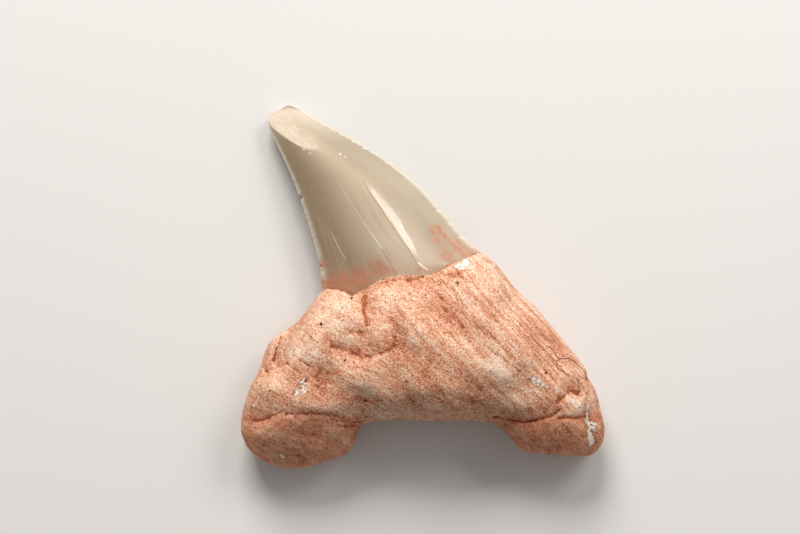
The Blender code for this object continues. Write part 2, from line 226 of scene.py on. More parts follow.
print("crown")
crown = {
    # left edge x, y, right edge x, y, height of the edges, swell of the front, swell of the back, arch
    "slices": [
        (-12.8, -4.8, 8.4, -2.4, 4.6, 6.0, 1.4, 1.5),
        (-14.7, -2.1, 10.1, 0.9, 4.6, 6.2, 2.5, 1.2),
        (-15.3, 0.0, 10.9, 3.4, 4.6, 6.2, 3.1, 0.8),
        (-15.5, 2.4, 8.8, 5.0, 4.6, 6.1, 3.25, 0.4),
        (-16.2, 5.4, 6.3, 7.3, 4.6, 6.0, 3.2, 0.0),
        (-17.0, 8.2, 4.1, 9.9, 4.55, 5.8, 3.15, 0.0),
        (-17.9, 11.0, 1.9, 12.4, 4.45, 5.5, 3.05, 0.0),
        (-18.9, 13.9, -0.5, 15.0, 4.3, 5.1, 2.95, 0.0),
        (-19.9, 16.5, -3.0, 17.1, 4.1, 4.7, 2.85, 0.0),
        (-20.9, 18.7, -5.9, 19.3, 3.8, 4.3, 2.7, 0.0),
        (-21.9, 20.9, -8.9, 21.2, 3.4, 3.8, 2.6, 0.0),
        (-22.8, 22.7, -12.1, 23.1, 3.0, 3.3, 2.5, 0.0),
        (-23.5, 24.2, -15.4, 24.8, 2.6, 2.8, 2.7, 0.0),
        (-23.6, 25.4, -18.1, 26.4, 2.3, 1.5, 2.2, 0.0),
        (-23.4, 25.9, -20.0, 27.4, 2.2, 0.45, 1.9, 0.0),
        (-22.6, 26.3, -20.9, 27.4, 2.2, 0.25, 1.2, 0.0),
    ],
    "rings": 38,  # rings along the crown, and spots round each
    "spots": 34,
    "sharpness": 1.12,
    "edgeBunching": 0.4,  # how far the spots crowd towards the cutting edges
    "edgeCrease": 1.0,
    "smoothLevels": 3,
    "smoothAngle": 50,
    "tipRings": [(0.8, (0, 0, -0.05)), (0.4, (0, 0, -0.06))],  # share of the last ring's size, shift
    # the spalled tip: three points of its plane
    "facet": [(-23.4, 25.2, 2.5), (-17.4, 20.3, 6.95), (-20.0, 27.4, 2.45)],
    "facetRidge": [(-23.6, 25.4), (-17.4, 20.3), (-15.0, 18.3)],
    "facetRounding": (0.10, 1.7),  # at its ridge, and far from it
    "facetFray": (1.2, 0.7, 6),  # size, reach and seed of its ragged border
    "facetLumps": (0.9, 0.03, 0.04, 5),  # size, height, more height where it is worn, seed
    # enamel fold that catches the light: its sharp crest, height, and width of its left side
    "fold": [(-9.2, 16.1), (-7.9, 13.9), (-6.5, 11.9), (-5.2, 9.9), (-3.9, 7.9), (-2.9, 6.5),
             (-1.8, 4.8), (-1.1, 3.6), (-0.5, 2.3)],
    "foldHeight": 0.12,
    "foldWidth": 0.9,
    # by share of the fold's length: width of the band on its left, and of the polished enamel on its right
    "band": [
        (0, 0.3), (0.15, 0.7), (0.3, 0.94), (0.45, 1.15), (0.6, 0.9), (0.72, 0.65), (0.84, 0.4),
        (0.93, 0.12), (1, 0.03),
    ],
    "glossWidth": [(0, 2.5), (0.4, 1.6), (0.58, 1.1), (0.76, 0.85), (0.87, 0.5), (1, 0.3)],
    "bandBend": 0.14,  # bend of the enamel that the band takes out, per millimetre
    "unevenness": (2.6, 0.035, 3),  # size, height, seed
    "unevenStretch": (1.0, 0.45, 1.0),
    # shallow lengthwise furrows: route, half width, height
    "furrows": [
        ([(-15.4, 12.6), (-13.6, 7.6), (-11.9, 2.6)], 0.9, -0.08),
        ([(-11.2, 13.6), (-9.4, 8.6), (-7.8, 2.8)], 0.9, -0.05),
        ([(-13.2, 10.6), (-11.4, 6.2), (-9.9, 2.6)], 0.6, 0.04),
    ],
    # nicks in the cutting edges: x, y, half length, depth
    "nicks": [
        (-18.6, 13.3, 0.3, 0.45), (-15.1, 24.5, 0.35, 0.22), (-13.7, 23.8, 0.3, 0.18),
        (-12.4, 23.1, 0.35, 0.42), (-11.6, 22.5, 0.25, 0.2), (-10.6, 21.8, 0.35, 0.42),
        (-9.8, 21.4, 0.22, 0.25), (-8.9, 20.9, 0.3, 0.42), (-7.9, 20.2, 0.3, 0.18),
        (-5.6, 18.8, 0.25, 0.15), (2.1, 11.5, 0.35, 0.32), (4.0, 9.6, 0.35, 0.2), (5.7, 7.6, 0.4, 0.3),
    ],
    "edgeWaviness": 0.09,
    "edgeWaves": [(1.9, 1.0, 3.1), (4.3, 0.6, 9.1)],  # waves per millimetre, strength, seed
    "edgeInwards": [(0.95, 0.30), (-0.6, -0.8)],  # way into the blade from its left and its right edge
    "lowest": 0.02,
    # rust-coloured stain on the enamel: x, y, reach in x, reach in y, strength
    "stainFray": (0.8, 0.25, 8),  # size, strength, seed
    "stainPatches": [
        (-14.0, 0.4, 2.2, 1.2, 1.0), (-11.6, 1.0, 1.8, 1.6, 0.9), (-9.4, 1.4, 1.8, 1.6, 1.0),
        (-6.8, 2.6, 2.0, 1.4, 0.9), (-4.8, 2.2, 1.2, 0.9, 0.7), (1.9, 8.3, 1.5, 1.3, 0.9),
        (2.6, 6.9, 1.7, 1.3, 1.0), (4.6, 5.9, 2.0, 1.4, 0.8), (7.0, 5.0, 2.2, 1.0, 0.9),
        (3.6, 4.6, 1.6, 0.9, 0.8), (-15.6, 3.2, 0.9, 1.2, 0.8), (-0.4, 2.6, 0.8, 0.7, 0.6),
    ],
}


def crownRing(cut):
    leftX, leftY, rightX, rightY, edge, front, back, arch = cut
    half = crown["spots"] // 2
    ring = []
    for spot in range(crown["spots"]):
        turn = spot / half
        even = 1 - 2 * abs(1 - turn)
        across = even + (-math.cos(math.pi * turn) - even) * crown["edgeBunching"]
        share = (across + 1) / 2
        bulge = max(1 - across ** 2, 0) ** crown["sharpness"]
        ring.append((
            leftX + (rightX - leftX) * share,
            leftY + (rightY - leftY) * share + arch * (1 - across ** 2),
            edge + (front if spot <= half else -back) * bulge,
            across,
        ))
    return ring


def placeRing(mesh, ring, along):
    # puts the selected points on a ring, each on the spot whose number it carries
    shape = bmesh.from_edit_mesh(mesh)
    spotLayer = shape.verts.layers.int["spot"]
    acrossLayer = shape.verts.layers.float["across"]
    alongLayer = shape.verts.layers.float["along"]
    for point in shape.verts:
        if point.select:
            x, y, z, across = ring[point[spotLayer]]
            point.co = Vector((x, y, z)) * mm
            point[acrossLayer] = across
            point[alongLayer] = along
    bmesh.update_edit_mesh(mesh)


def creaseEdges(mesh):
    # the two cutting edges stay sharp when the mesh is smoothed
    shape = bmesh.from_edit_mesh(mesh)
    spotLayer = shape.verts.layers.int["spot"]
    shape.select_mode = {"EDGE"}
    for edge in shape.edges:
        ends = {point[spotLayer] for point in edge.verts}
        edge.select_set(len(ends) == 1 and ends <= {0, crown["spots"] // 2})
    shape.select_flush_mode()
    bmesh.update_edit_mesh(mesh)
    bpy.ops.transform.edge_crease(value=crown["edgeCrease"])


def loftCrown():
    bpy.ops.object.select_all(action="DESELECT")
    bpy.ops.mesh.primitive_circle_add(vertices=crown["spots"], radius=12 * mm, fill_type="NGON")
    piece = bpy.context.active_object
    piece.name = piece.data.name = "crown"
    bpy.ops.object.mode_set(mode="EDIT")
    shape = bmesh.from_edit_mesh(piece.data)
    spotLayer = shape.verts.layers.int.new("spot")
    shape.verts.layers.float.new("across")
    shape.verts.layers.float.new("along")
    shape.verts.ensure_lookup_table()
    for number, point in enumerate(shape.verts):
        point[spotLayer] = number
        point.select = True
    bmesh.update_edit_mesh(piece.data)
    rings = [crownRing(cut) for cut in curveThrough(crown["slices"], crown["rings"])]
    bpy.ops.mesh.select_all(action="SELECT")
    placeRing(piece.data, rings[0], 0.0)
    for number, ring in enumerate(rings[1:], 1):
        bpy.ops.mesh.extrude_region()
        placeRing(piece.data, ring, number / (len(rings) - 1))
    # smaller rings close the broken end
    middle = Vector([sum(point[axis] for point in rings[-1]) / len(rings[-1]) for axis in range(3)])
    for size, push in crown["tipRings"]:
        bpy.ops.mesh.extrude_region()
        placeRing(piece.data, [
            (*(middle.lerp(Vector(point[:3]), size) + Vector(push)), point[3] * size)
            for point in rings[-1]], 1.0)
    creaseEdges(piece.data)
    bpy.ops.mesh.select_all(action="SELECT")
    bpy.ops.mesh.normals_make_consistent(inside=False)
    bpy.ops.object.mode_set(mode="OBJECT")
    levels = crown["smoothLevels"]
    applyModifier(piece, "SUBSURF", levels=levels, render_levels=levels)
    return piece


def facetHeight(places):
    # height of the facet's plane above each place
    left, low, top = (Vector(point) for point in crown["facet"])
    normal = (low - left).cross(top - left)
    return low.z - (normal.x * (places[:, 0] - low.x) + normal.y * (places[:, 1] - low.y)) / normal.z


def lowerOf(first, second, rounding):
    # the lower of two surfaces, with the edge between them rounded
    gap = np.maximum(rounding - np.abs(first - second), 0) / rounding
    return np.minimum(first, second) - gap ** 2 * rounding / 4


def pressFurrows(places, front):
    for route, halfWidth, height in crown["furrows"]:
        distance, share = routeDistance(places, curveThrough(route, 12))
        fade = easeIn(share, 0, 0.3)
        places[:, 2] += front * fade * height * np.exp(-(distance / halfWidth) ** 2)


def raiseFold(mesh, places, front):
    # a sharp crest that falls away to the right, with a flatter band on its left
    distance, share = routeDistance(places, curveThrough(crown["fold"], 24))
    width = np.interp(share, *np.array(crown["band"]).T)
    right, left = np.clip(distance, 0, None), np.clip(-distance, 0, None)
    leftLift = 1 - easeIn(left, -0.9 * width, width + 0.7)
    lift = np.where(distance > 0, np.exp(-right / crown["foldWidth"]), leftLift)
    lift *= crown["foldHeight"] * easeIn(share, 0.0, 0.2) * (1 - easeIn(share, 0.82, 0.98))
    level = np.minimum(left, width) ** 2 * (1 - easeIn(left, width, width + 0.8))
    places[:, 2] += front * (share > 0) * (share < 1) * (lift + 0.5 * crown["bandBend"] * level)
    # duller enamel beyond the polished strip on its right
    glossy = np.interp(share, *np.array(crown["glossWidth"]).T)
    dull = easeIn(right, glossy, glossy + 0.35) * easeIn(share, 0.3, 0.5) * (1 - easeIn(right, 2.0, 6.0))
    writePaint(mesh, "dull", front * dull)


def wearTip(mesh, places, across, front):
    # spalled facet, crisp at its ridge and fading out to the right
    plane = facetHeight(places)
    away, _ = routeDistance(places, crown["facetRidge"])
    away = np.abs(away)
    crisp, soft = crown["facetRounding"]
    beforeEnd = easeIn(readPaint(mesh, "along"), 0.985, 0.90)
    rounding = crisp + (soft - crisp) * easeIn(away, 0.6, 3.2) * beforeEnd
    size, reach, seed = crown["facetFray"]
    ragged = reach * noiseAt(places, size, seed, 2)
    worn = easeIn(places[:, 2] - plane, -0.02, 0.08) * (1 - easeIn(away + ragged, 0.5, 2.6))
    size, height, wornHeight, seed = crown["facetLumps"]
    plane += (height + wornHeight * worn) * noiseAt(places, size, seed, 2)
    cut = np.minimum(places[:, 2], plane)
    hold = easeIn(1 - np.abs(across), 0.0, 0.08) * front
    places[:, 2] = cut + hold * (lowerOf(places[:, 2], plane, rounding) - cut)
    writePaint(mesh, "worn", worn)


def nickEdges(places, across):
    # nicks and waviness of the cutting edges, pressed towards the middle of the blade
    cuts = crown["slices"][2:]
    middleX = np.interp(places[:, 1], [cut[1] for cut in cuts], [(cut[0] + cut[2]) / 2 for cut in cuts])
    inwards = np.sign(middleX - places[:, 0])
    wave = np.zeros(len(places))
    for pace, strength, seed in crown["edgeWaves"]:
        spots = zip(places[:, 1] * pace, inwards * 5)
        wave += strength * np.array([noise.noise((y, seed, side)) for y, side in spots])
    push = crown["edgeWaviness"] * np.clip(wave + 0.2, 0, 1)
    for x, y, halfLength, depth in crown["nicks"]:
        gap = np.hypot(places[:, 0] - x, places[:, 1] - y)
        push += depth * np.exp(-(gap / halfLength) ** 2)
    nearEdge = easeIn(np.abs(across), 0.80, 1.0) ** 2
    fromLeft, fromRight = crown["edgeInwards"]
    for axis in (0, 1):
        places[:, axis] += np.where(inwards > 0, fromLeft[axis], fromRight[axis]) * nearEdge * push


def sculptCrown(piece):
    mesh = piece.data
    places, normals = readPoints(mesh)
    across = readPaint(mesh, "across")
    front = easeIn(normals[:, 2], 0.0, 0.25)
    pressFurrows(places, front)
    raiseFold(mesh, places, front)
    size, height, seed = crown["unevenness"]
    raisePoints(places, normals, height * noiseAt(places * crown["unevenStretch"], size, seed))
    wearTip(mesh, places, across, front)
    nickEdges(places, across)
    places[:, 2] = np.maximum(places[:, 2], crown["lowest"])
    writePoints(mesh, places)
    size, strength, seed = crown["stainFray"]
    stain = patchPaint(places, crown["stainPatches"]) + strength * noiseAt(places, size, seed, 2)
    writePaint(mesh, "stain", np.clip(stain, 0, 1))
    for layer in ("spot", "crease_edge"):
        if mesh.attributes.get(layer):
            mesh.attributes.remove(mesh.attributes[layer])


def countTriangles(piece):
    print("  triangles", sum(len(face.vertices) - 2 for face in piece.data.polygons))


crownPiece = loftCrown()
sculptCrown(crownPiece)
makeActive(crownPiece)
bpy.ops.object.shade_smooth_by_angle(angle=math.radians(crown["smoothAngle"]))
countTriangles(crownPiece)


print("root")
bone = {
    "cutPlace": (0, 6.5, 0),  # the stub inside the crown ends here
    "cutFacing": (-0.186, 0.983, 0),
    "meshSize": 0.228,  # side of the mesh's squares
    "smoothing": 35,
    "swelling": 0.06,  # makes up for what smoothing takes off
    # where the root ends on the front and on the back of the crown
    "frontSeam": [
        (-40, -0.3), (-15.3, -0.3), (-13.3, -0.5), (-11.8, -0.9), (-10.7, -1.4), (-8.8, -0.6), (-6.8, 0.8),
        (-5.0, 1.4), (-2.7, 1.7), (-0.5, 1.5), (1.4, 2.0), (3.3, 2.7), (4.8, 3.6), (6.3, 4.1), (8.3, 5.0),
        (10.1, 5.4), (40, 7),
    ],
    "backSeam": [
        (-40, -0.3), (-15.3, -0.3), (-11.0, 0.4), (-6.0, 1.2), (-2.0, 1.4), (2.0, 2.2), (6.0, 4.0),
        (8.3, 5.0), (10.1, 5.4), (40, 7),
    ],
    "seamFray": (0.9, 0.22, 31),  # size, reach, seed
    "seamCrumbs": (0.6, 0.10, 32),  # size, height, seed
    "lip": (0.03, 0.22),  # rise of the root over the enamel at the seam, and more beyond
    "stubDepth": (0.05, 0.45),  # how deep its stub lies under the enamel, likewise
    "stubShrink": 0.13,
    "stubMiddle": (-2.6, 0.12),  # x of the crown's middle at y = 0, and its slope
    "edgeHeight": 4.6,  # of the crown's cutting edges
    # fine forms of the front: route, half width, height
    "frontStrokes": {
        "neck crease": ([(-8.6, -1.5), (-8.8, -3.6), (-8.5, -5.6)], 0.45, -0.13),
        "neck hollow": ([(-10.7, -6.7), (-9.2, -6.6)], 0.7, -0.14),
        "curved crease": (
            [(-13.4, -8.9), (-11.8, -9.3), (-10.1, -9.9), (-8.5, -10.3), (-6.5, -9.9), (-4.4, -8.8)],
            0.55, -0.13),
        "short groove": ([(-5.3, -3.6), (-4.4, -5.4), (-3.3, -7.3)], 0.6, -0.03),
        "long ridge": ([(-3.5, -4.8), (1.1, -7.0), (6.3, -9.7), (12.4, -13.4)], 0.8, 0.06),
        "under the long ridge": ([(-4.2, -7.9), (-0.5, -10.0), (4.1, -13.0)], 1.0, -0.08),
        "second ridge": ([(8.6, -4.8), (11.6, -7.4), (15.3, -10.6)], 0.6, 0.08),
        "limb furrow": ([(10.1, -4.5), (13.4, -7.9), (16.9, -11.2), (19.5, -13.9)], 0.45, -0.07),
        "limb line": ([(8.9, -8.6), (11.3, -10.4), (14.1, -12.5)], 0.25, -0.10),
        "left knob": ([(-23.4, -14.1), (-22.7, -14.7)], 1.4, 0.12),
        "chip crater": ([(-19.2, -15.7), (-18.0, -14.7), (-17.4, -13.9)], 0.45, -0.16),
        "small swell": ([(-11.8, -13.0), (-10.6, -13.9)], 1.2, 0.10),
        "notch hollow": ([(-9.5, -16.8), (-7.1, -17.7)], 1.2, -0.10),
        "left foot crease high": (
            [(-26.9, -20.1), (-24.3, -19.9), (-22.5, -19.2), (-21.0, -18.6)], 0.3, -0.10),
        "left foot crease": (
            [(-20.5, -19.0), (-18.4, -18.9), (-15.9, -18.9), (-13.1, -19.3), (-10.7, -19.9), (-7.7, -19.5)],
            0.32, -0.12),
        "upper fibre": ([(-12.9, -20.0), (-9.8, -20.4), (-7.4, -20.1)], 0.22, -0.12),
        "lower fibre": ([(-12.4, -20.8), (-9.5, -21.0), (-7.8, -20.7)], 0.22, -0.12),
        "right foot crease": (
            [(10.4, -19.6), (12.7, -19.9), (14.8, -20.2), (16.5, -19.9), (18.9, -19.2), (20.1, -18.3)],
            0.3, -0.18),
        "right foot crease low": ([(20.1, -19.6), (21.2, -19.5), (22.7, -19.6), (24.0, -19.3)], 0.3, -0.16),
        "hook groove": (
            [(19.8, -17.1), (20.4, -16.5), (21.2, -15.9), (21.9, -15.6), (23.0, -15.9)], 0.45, -0.16),
        "chalk groove": (
            [(24.6, -16.2), (24.3, -18.0), (24.5, -19.9), (25.2, -22.1), (25.4, -23.6)], 0.5, -0.16),
        "shoulder groove": ([(-21.5, -7.6), (-22.1, -9.2), (-22.5, -10.9)], 0.4, -0.28),
        "left foot furrow": ([(-20.1, -21.0), (-14.1, -23.3), (-11.8, -25.5)], 0.9, -0.12),
        "left foot swell": ([(-24.0, -22.5), (-22.6, -24.0)], 1.3, 0.14),
        "right foot hollow": ([(14.7, -23.3), (20.7, -24.2)], 1.1, -0.12),
        "dashes above the chips": ([(-20.4, -11.3), (-18.2, -12.8)], 0.25, -0.10),
        "dashes beside the chips": ([(-19.4, -10.3), (-16.8, -11.8)], 0.25, -0.09),
    },
    # soft patches of the front: x, y, reach in x, reach in y, strength
    # cream patches: partly lighter sand, partly painted light on slopes that face the lamp and in a hollow
    "creamPatches": [
        (-14.7, -5.6, 3.4, 2.6, 0.9), (-18.1, -9.6, 3.0, 2.4, 0.8), (-12.2, -3.0, 2.4, 1.6, 0.8),
        (-22.0, -13.0, 2.0, 1.6, 0.5), (-4.0, -1.6, 4.0, 1.8, 0.45), (9.6, 0.6, 2.6, 2.6, 0.7),
        (13.6, -3.6, 1.6, 2.6, 0.7), (6.2, -8.6, 3.6, 1.2, 0.6), (9.6, -11.6, 3.0, 1.4, 0.6),
        (-6.6, -5.6, 1.2, 2.0, 0.5), (0.6, -7.6, 2.6, 1.0, 0.45), (13.4, -15.4, 3.2, 1.2, 0.5),
        (5.0, -1.0, 2.4, 1.4, 0.4), (-10.4, -8.0, 2.0, 1.4, 0.9), (-20.4, -23.2, 3.6, 2.4, 0.65),
        (-14.0, -22.4, 2.8, 2.2, 0.75), (-3.4, -18.8, 4.0, 1.0, 0.35),
    ],
    "palePatches": [
        (-22.4, -15.0, 2.0, 1.5, 0.45), (-8.6, -15.4, 1.6, 1.1, 0.8), (-11.6, -17.6, 2.0, 1.1, 0.6),
        (9.1, -10.7, 2.2, 1.2, 0.6), (11.0, -12.6, 2.2, 1.2, 0.9), (-10.4, -18.6, 2.4, 0.7, 0.7),
        (12.2, -16.6, 2.0, 0.8, 0.4), (-5.4, -15.6, 1.0, 0.7, 0.4), (21.5, -24.8, 2.0, 0.8, 0.25),
        (-22.6, -25.2, 0.9, 0.5, 0.6), (-17.2, -25.0, 1.2, 0.6, 0.3), (7.0, -9.6, 1.0, 0.7, 0.5),
    ],
    # dark patches: partly darker sand, partly painted shade in hollows, creases and under ledges
    "darkPatches": [
        (4.1, -5.2, 3.4, 2.0, 0.35), (-9.2, -6.6, 0.8, 1.2, 0.45), (1.1, -14.6, 5.0, 2.6, 0.5),
        (-2.0, -11.2, 3.0, 1.6, 0.35), (-15.9, -14.6, 2.4, 2.2, 0.7), (-9.0, -16.8, 1.6, 1.0, 0.5),
        (7.1, -16.8, 4.0, 1.6, 0.5), (19.4, -8.6, 1.2, 3.0, 0.4), (-23.4, -10.6, 0.9, 2.0, 0.7),
        (-0.5, 0.4, 2.8, 1.0, 0.5), (4.8, 1.7, 2.4, 1.0, 0.5), (-4.6, -8.9, 2.6, 1.0, 0.6),
        (-11.6, -9.4, 1.8, 0.7, 0.6), (22.0, -15.4, 1.4, 0.9, 0.6), (16.4, -18.4, 4.0, 1.2, 0.4),
        (-19.2, -17.4, 4.0, 0.9, 0.35), (16.9, -8.4, 2.6, 2.8, 0.55), (-22.8, -15.4, 2.0, 1.8, 0.7),
        (25.6, -21.8, 1.4, 2.6, 0.8), (-11.0, -17.2, 1.8, 1.4, 0.7),
    ],
    # small knocks: x, y, reach, height
    "knocks": [
        (10.6, 3.2, 0.45, 0.22), (24.1, -12.6, 0.6, 0.12), (24.7, -13.9, 0.5, -0.22),
        (25.6, -15.4, 0.5, 0.1), (-22.0, -8.0, 0.5, 0.12), (-23.6, -12.6, 0.5, -0.16),
        (-21.0, -26.8, 0.9, 0.14), (-23.6, -26.0, 0.6, -0.12), (-18.4, -26.6, 0.7, -0.14),
        (-16.0, -26.3, 0.6, 0.10), (-12.4, -24.6, 0.6, -0.12), (14.6, -24.6, 0.7, 0.10),
        (12.6, -22.6, 0.6, -0.12), (20.6, -25.6, 0.6, 0.08), (-8.8, -21.4, 0.6, 0.12),
    ],
    "lumps": [(3.4, 0.15, 11), (1.3, 0.04, 12), (0.6, 0.03, 13)],  # size, height, seed
    "footLumps": (1.7, 0.10, 14),
    # where the forms of the feet, and their tint with its painted shade, set in: down the tooth, then out
    # from its middle
    "footForms": (18.6, 20.0, 8.0, 10.0),
    "footTintAndShading": (18.6, 19.8, 9.0, 11.0),
    "ribs": (0.9, 0.09, 21),  # width and height of the fibres along the limbs, seed
    # strength of a limb's ribs, their angle, how far they are drawn out
    "leftRibs": (0.4, -30, 0.45),
    "rightRibs": (1.0, -48, 0.18),
    # rounds of smoothing and strength, for what lies lower than its surroundings; these give the sand its
    # painted shade in hollows and painted light on swells
    "hollows": {"fineHollow": (8, 11), "broadHollow": (70, 2.4)},
    "chalkLowest": 4.5,
    # chalky marks: half width and points
    "chalkMarks": [
        (0.40, [(5.0, 3.0), (5.9, 3.2), (6.6, 3.5)]), (0.28, [(5.9, 3.7), (6.4, 3.9)]),
        (0.24, [(5.3, 2.6), (6.1, 2.7)]), (0.24, [(-17.7, -13.75), (-18.1, -14.2)]),
        (0.18, [(-17.3, -14.3), (-17.9, -14.6)]), (0.20, [(-17.2, -14.8), (-18.0, -15.4)]),
        (0.20, [(-18.2, -15.5), (-19.0, -16.0)]), (0.16, [(-18.2, -14.8), (-18.8, -15.4)]),
        (0.17, [(-17.3, -15.3), (-17.8, -15.8)]), (0.13, [(-21.9, -8.7), (-22.0, -9.2)]),
        (0.19, [(15.5, -13.3), (16.5, -13.9)]), (0.21, [(16.3, -13.4), (17.5, -14.3)]),
        (0.19, [(17.2, -13.9), (18.2, -14.9)]), (0.17, [(16.0, -14.1), (17.3, -14.9)]),
        (0.15, [(24.5, -17.4), (24.35, -18.7)]), (0.17, [(24.35, -18.9), (24.5, -19.8)]),
        (0.26, [(24.3, -19.9), (24.7, -20.5)]), (0.30, [(24.9, -20.9), (24.7, -21.7)]),
        (0.26, [(25.2, -20.4), (25.8, -20.7)]), (0.30, [(25.3, -21.1), (25.5, -21.4)]),
        (0.48, [(24.9, -22.2), (25.1, -22.9), (25.2, -23.5)]), (0.24, [(22.1, -16.7), (22.3, -17.2)]),
        (0.26, [(-21.3, -25.4), (-21.0, -25.7)]), (0.15, [(-6.5, -17.5), (-5.7, -17.9)]),
        (0.14, [(-6.9, -18.0), (-6.2, -18.3)]), (0.12, [(-11.5, -8.9), (-11.2, -9.1)]),
    ],
    "lowest": 0.02,
}


def startRoot():
    # a copy of the solid, cut off inside the crown
    piece = bpy.data.objects.new("boneRoot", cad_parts["tooth"].data.copy())
    bpy.context.scene.collection.objects.link(piece)
    makeActive(piece)
    bpy.ops.object.mode_set(mode="EDIT")
    bpy.ops.mesh.select_all(action="SELECT")
    bpy.ops.mesh.remove_doubles(threshold=0.005 * mm)
    bpy.ops.mesh.select_all(action="SELECT")
    bpy.ops.mesh.bisect(
        plane_co=Vector(bone["cutPlace"]) * mm, plane_no=bone["cutFacing"], use_fill=True, clear_outer=True)
    bpy.ops.object.mode_set(mode="OBJECT")
    applyModifier(piece, "REMESH", mode="VOXEL", voxel_size=bone["meshSize"] * mm)
    applyModifier(piece, "SMOOTH", factor=0.5, iterations=bone["smoothing"])
    return piece


def limbRibs(places, width, seed):
    # long ribs on the right limb, and short ones across the left limb
    right = easeIn(places[:, 0], -7.0, -1.0)
    ribs = np.zeros(len(places))
    for share, (strength, angle, drawnOut) in ((right, bone["rightRibs"]), (1 - right, bone["leftRibs"])):
        cosine, sine = math.cos(math.radians(angle)), math.sin(math.radians(angle))
        turned = np.stack([
            places[:, 1] * cosine - places[:, 0] * sine,
            (places[:, 0] * cosine + places[:, 1] * sine) * drawnOut,
            places[:, 2] * 0.6], axis=1)
        ribs += strength * share * noiseAt(turned, width, seed, 2)
    return ribs


def feetShare(places, above, below, inner, outer):
    # 1 on the feet of both lobes, 0 above their creases and between them
    return easeIn(-places[:, 1], above, below) * easeIn(np.abs(places[:, 0] - 1.0), inner, outer)


def sculptRoot(piece):
    mesh = piece.data
    places, normals = readPoints(mesh)
    front = easeIn(normals[:, 2], 0.05, 0.5)
    places += normals * bone["swelling"]
    for route, halfWidth, height in bone["frontStrokes"].values():
        near, _ = routeDistance(places, curveThrough(route, 4 * len(route)))
        raisePoints(places, normals, front * height * np.exp(-(near / halfWidth) ** 2))
    for x, y, reach, height in bone["knocks"]:
        gap = np.hypot(places[:, 0] - x, places[:, 1] - y)
        raisePoints(places, normals, height * np.exp(-(gap / reach) ** 2))
    size, height, seed = bone["footLumps"]
    feet = feetShare(places, *bone["footForms"])
    raisePoints(places, normals, height * feet * noiseAt(places, size, seed, 2))
    for size, height, seed in bone["lumps"]:
        raisePoints(places, normals, height * noiseAt(places, size, seed))
    width, height, seed = bone["ribs"]
    upper = easeIn(places[:, 1], -20.5, -16.5)
    raisePoints(places, normals, height * upper * limbRibs(places, width, seed))
    places[:, 2] = np.maximum(places[:, 2], bone["lowest"])
    writePoints(mesh, places)


def tuckUnderCrown(piece):
    # the root meets the enamel along the seams, and its stub stays inside the crown
    mesh = piece.data
    places, _ = readPoints(mesh)
    tree = BVHTree.FromPolygons(
        [point.co / mm for point in crownPiece.data.vertices],
        [face.vertices for face in crownPiece.data.polygons])
    edge = bone["edgeHeight"]
    size, reach, seed = bone["seamFray"]
    ragged = reach * noiseAt(places, size, seed, 2)
    size, reach, seed = bone["seamCrumbs"]
    crumbs = reach * noiseAt(places, size, seed)
    front = places[:, 2] > edge + 0.1
    frontGap, _ = routeDistance(places, bone["frontSeam"])
    backGap, _ = routeDistance(places, bone["backSeam"])
    gap = np.where(front, frontGap, backGap) + ragged
    middleX = bone["stubMiddle"][0] + bone["stubMiddle"][1] * places[:, 1]
    lip, moreLip = bone["lip"]
    sunk, moreSunk = bone["stubDepth"]
    for index in np.nonzero(gap > -3.5)[0]:
        x, y, z = places[index]
        beyond = gap[index]
        shrink = bone["stubShrink"] * float(easeIn(beyond, 0.0, 1.6))
        x += (middleX[index] - x) * shrink
        up = 1 if front[index] else -1
        hit = tree.ray_cast(Vector((x, y, edge + 30 * up)), Vector((0, 0, -up)))[0]
        if hit is None:
            if beyond > 0:
                z = edge + (z - edge) * (1 - shrink)
        elif beyond > 0:
            depth = sunk + moreSunk * float(easeIn(beyond, 0.0, 1.2))
            z = min(z, hit.z - depth) if front[index] else max(z, hit.z + depth)
        else:
            cover = lip + (moreLip + crumbs[index]) * float(easeIn(-beyond, 0.0, 1.0))
            z = max(z, hit.z + cover) if front[index] else min(z, hit.z - cover)
        places[index] = x, y, z
    writePoints(mesh, places)


def hollowness(mesh, places, normals, rounds):
    # how far each point lies under the smoothed surface around it
    ends = np.empty(len(mesh.edges) * 2, np.int32)
    mesh.edges.foreach_get("vertices", ends)
    first, second = ends.reshape(-1, 2).T
    count = len(places)
    links = np.bincount(first, minlength=count) + np.bincount(second, minlength=count)
    smooth = places.copy()
    for _ in range(rounds):
        total = np.empty_like(smooth)
        for axis in range(3):
            total[:, axis] = (np.bincount(first, smooth[second, axis], count)
                              + np.bincount(second, smooth[first, axis], count))
        smooth = 0.4 * smooth + 0.6 * total / links[:, None]
    return ((smooth - places) * normals).sum(axis=1)


def paintRoot(piece):
    mesh = piece.data
    places, normals = readPoints(mesh)
    front = easeIn(normals[:, 2], 0.0, 0.4)
    for name, (rounds, strength) in bone["hollows"].items():
        writePaint(mesh, name, np.clip(0.5 + hollowness(mesh, places, normals, rounds) * strength, 0, 1))
    # patches of the front; the cream ones are partly painted light and the dark ones partly painted shade
    for name in ("pale", "cream", "dark"):
        writePaint(mesh, name, front * patchPaint(places, bone[name + "Patches"]))
    # the feet's share, for their tint that is partly painted shade
    writePaint(mesh, "foot", feetShare(places, *bone["footTintAndShading"]))
    # how far inside a chalky mark each point lies
    inside = np.full(len(places), -1.0)
    for halfWidth, route in bone["chalkMarks"]:
        distance, _ = routeDistance(places, route)
        inside = np.maximum(inside, halfWidth - np.abs(distance))
    writePaint(mesh, "chalk", np.where(places[:, 2] > bone["chalkLowest"], inside, -1.0))


rootPiece = startRoot()
sculptRoot(rootPiece)
tuckUnderCrown(rootPiece)
paintRoot(rootPiece)
makeActive(rootPiece)
bpy.ops.object.shade_smooth()
countTriangles(rootPiece)


print("materials")


def feed(tree, socket, value):
    if isinstance(value, bpy.types.NodeSocket):
        tree.links.new(value, socket)
    elif isinstance(value, tuple) and len(value) == 3 and socket.type == "RGBA":
        socket.default_value = (*value, 1)
    else:
        socket.default_value = value


